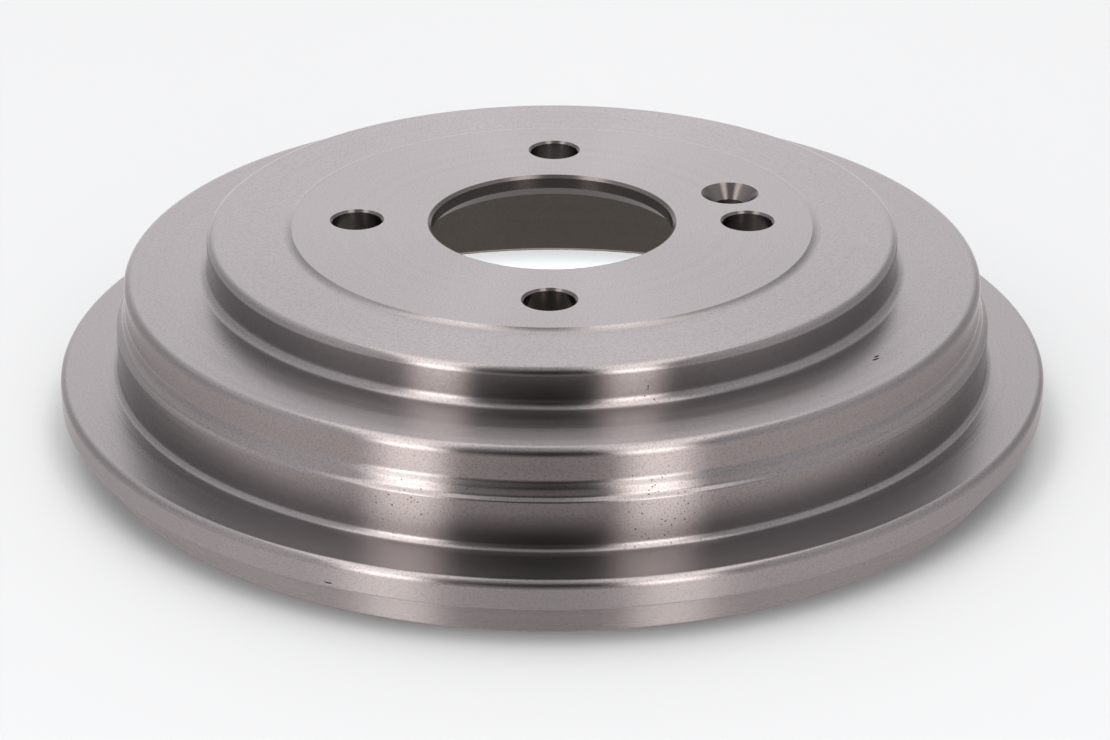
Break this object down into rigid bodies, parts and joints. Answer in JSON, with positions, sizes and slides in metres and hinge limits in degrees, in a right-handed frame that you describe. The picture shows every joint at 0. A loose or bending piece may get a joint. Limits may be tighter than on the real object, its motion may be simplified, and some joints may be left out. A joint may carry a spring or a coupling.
{
  "type": "brake drum",
  "caption": "Stepped brake drum turned from cast iron, with a raised wheel face, centre bore, stud holes, a countersunk screw hole, an outer flange and an open brake track inside.",
  "frame": {"origin": "centre of the hub seat, the flat face of the web that bears on the hub", "axes": "+Z along the axle line out of the wheel face, with the drum's open end towards -Z; +X through the centre of one stud hole, and the retaining screw's hole lies 22.3 degrees from it towards +Y"},
  "size_m": [0.254, 0.254, 0.0517],
  "materials": {
    "machined_iron": "machined, satin, with fine turning marks"
  },
  "bodies": {
    "root": {"drum": "machined_iron"}
  },
  "joints": []
}
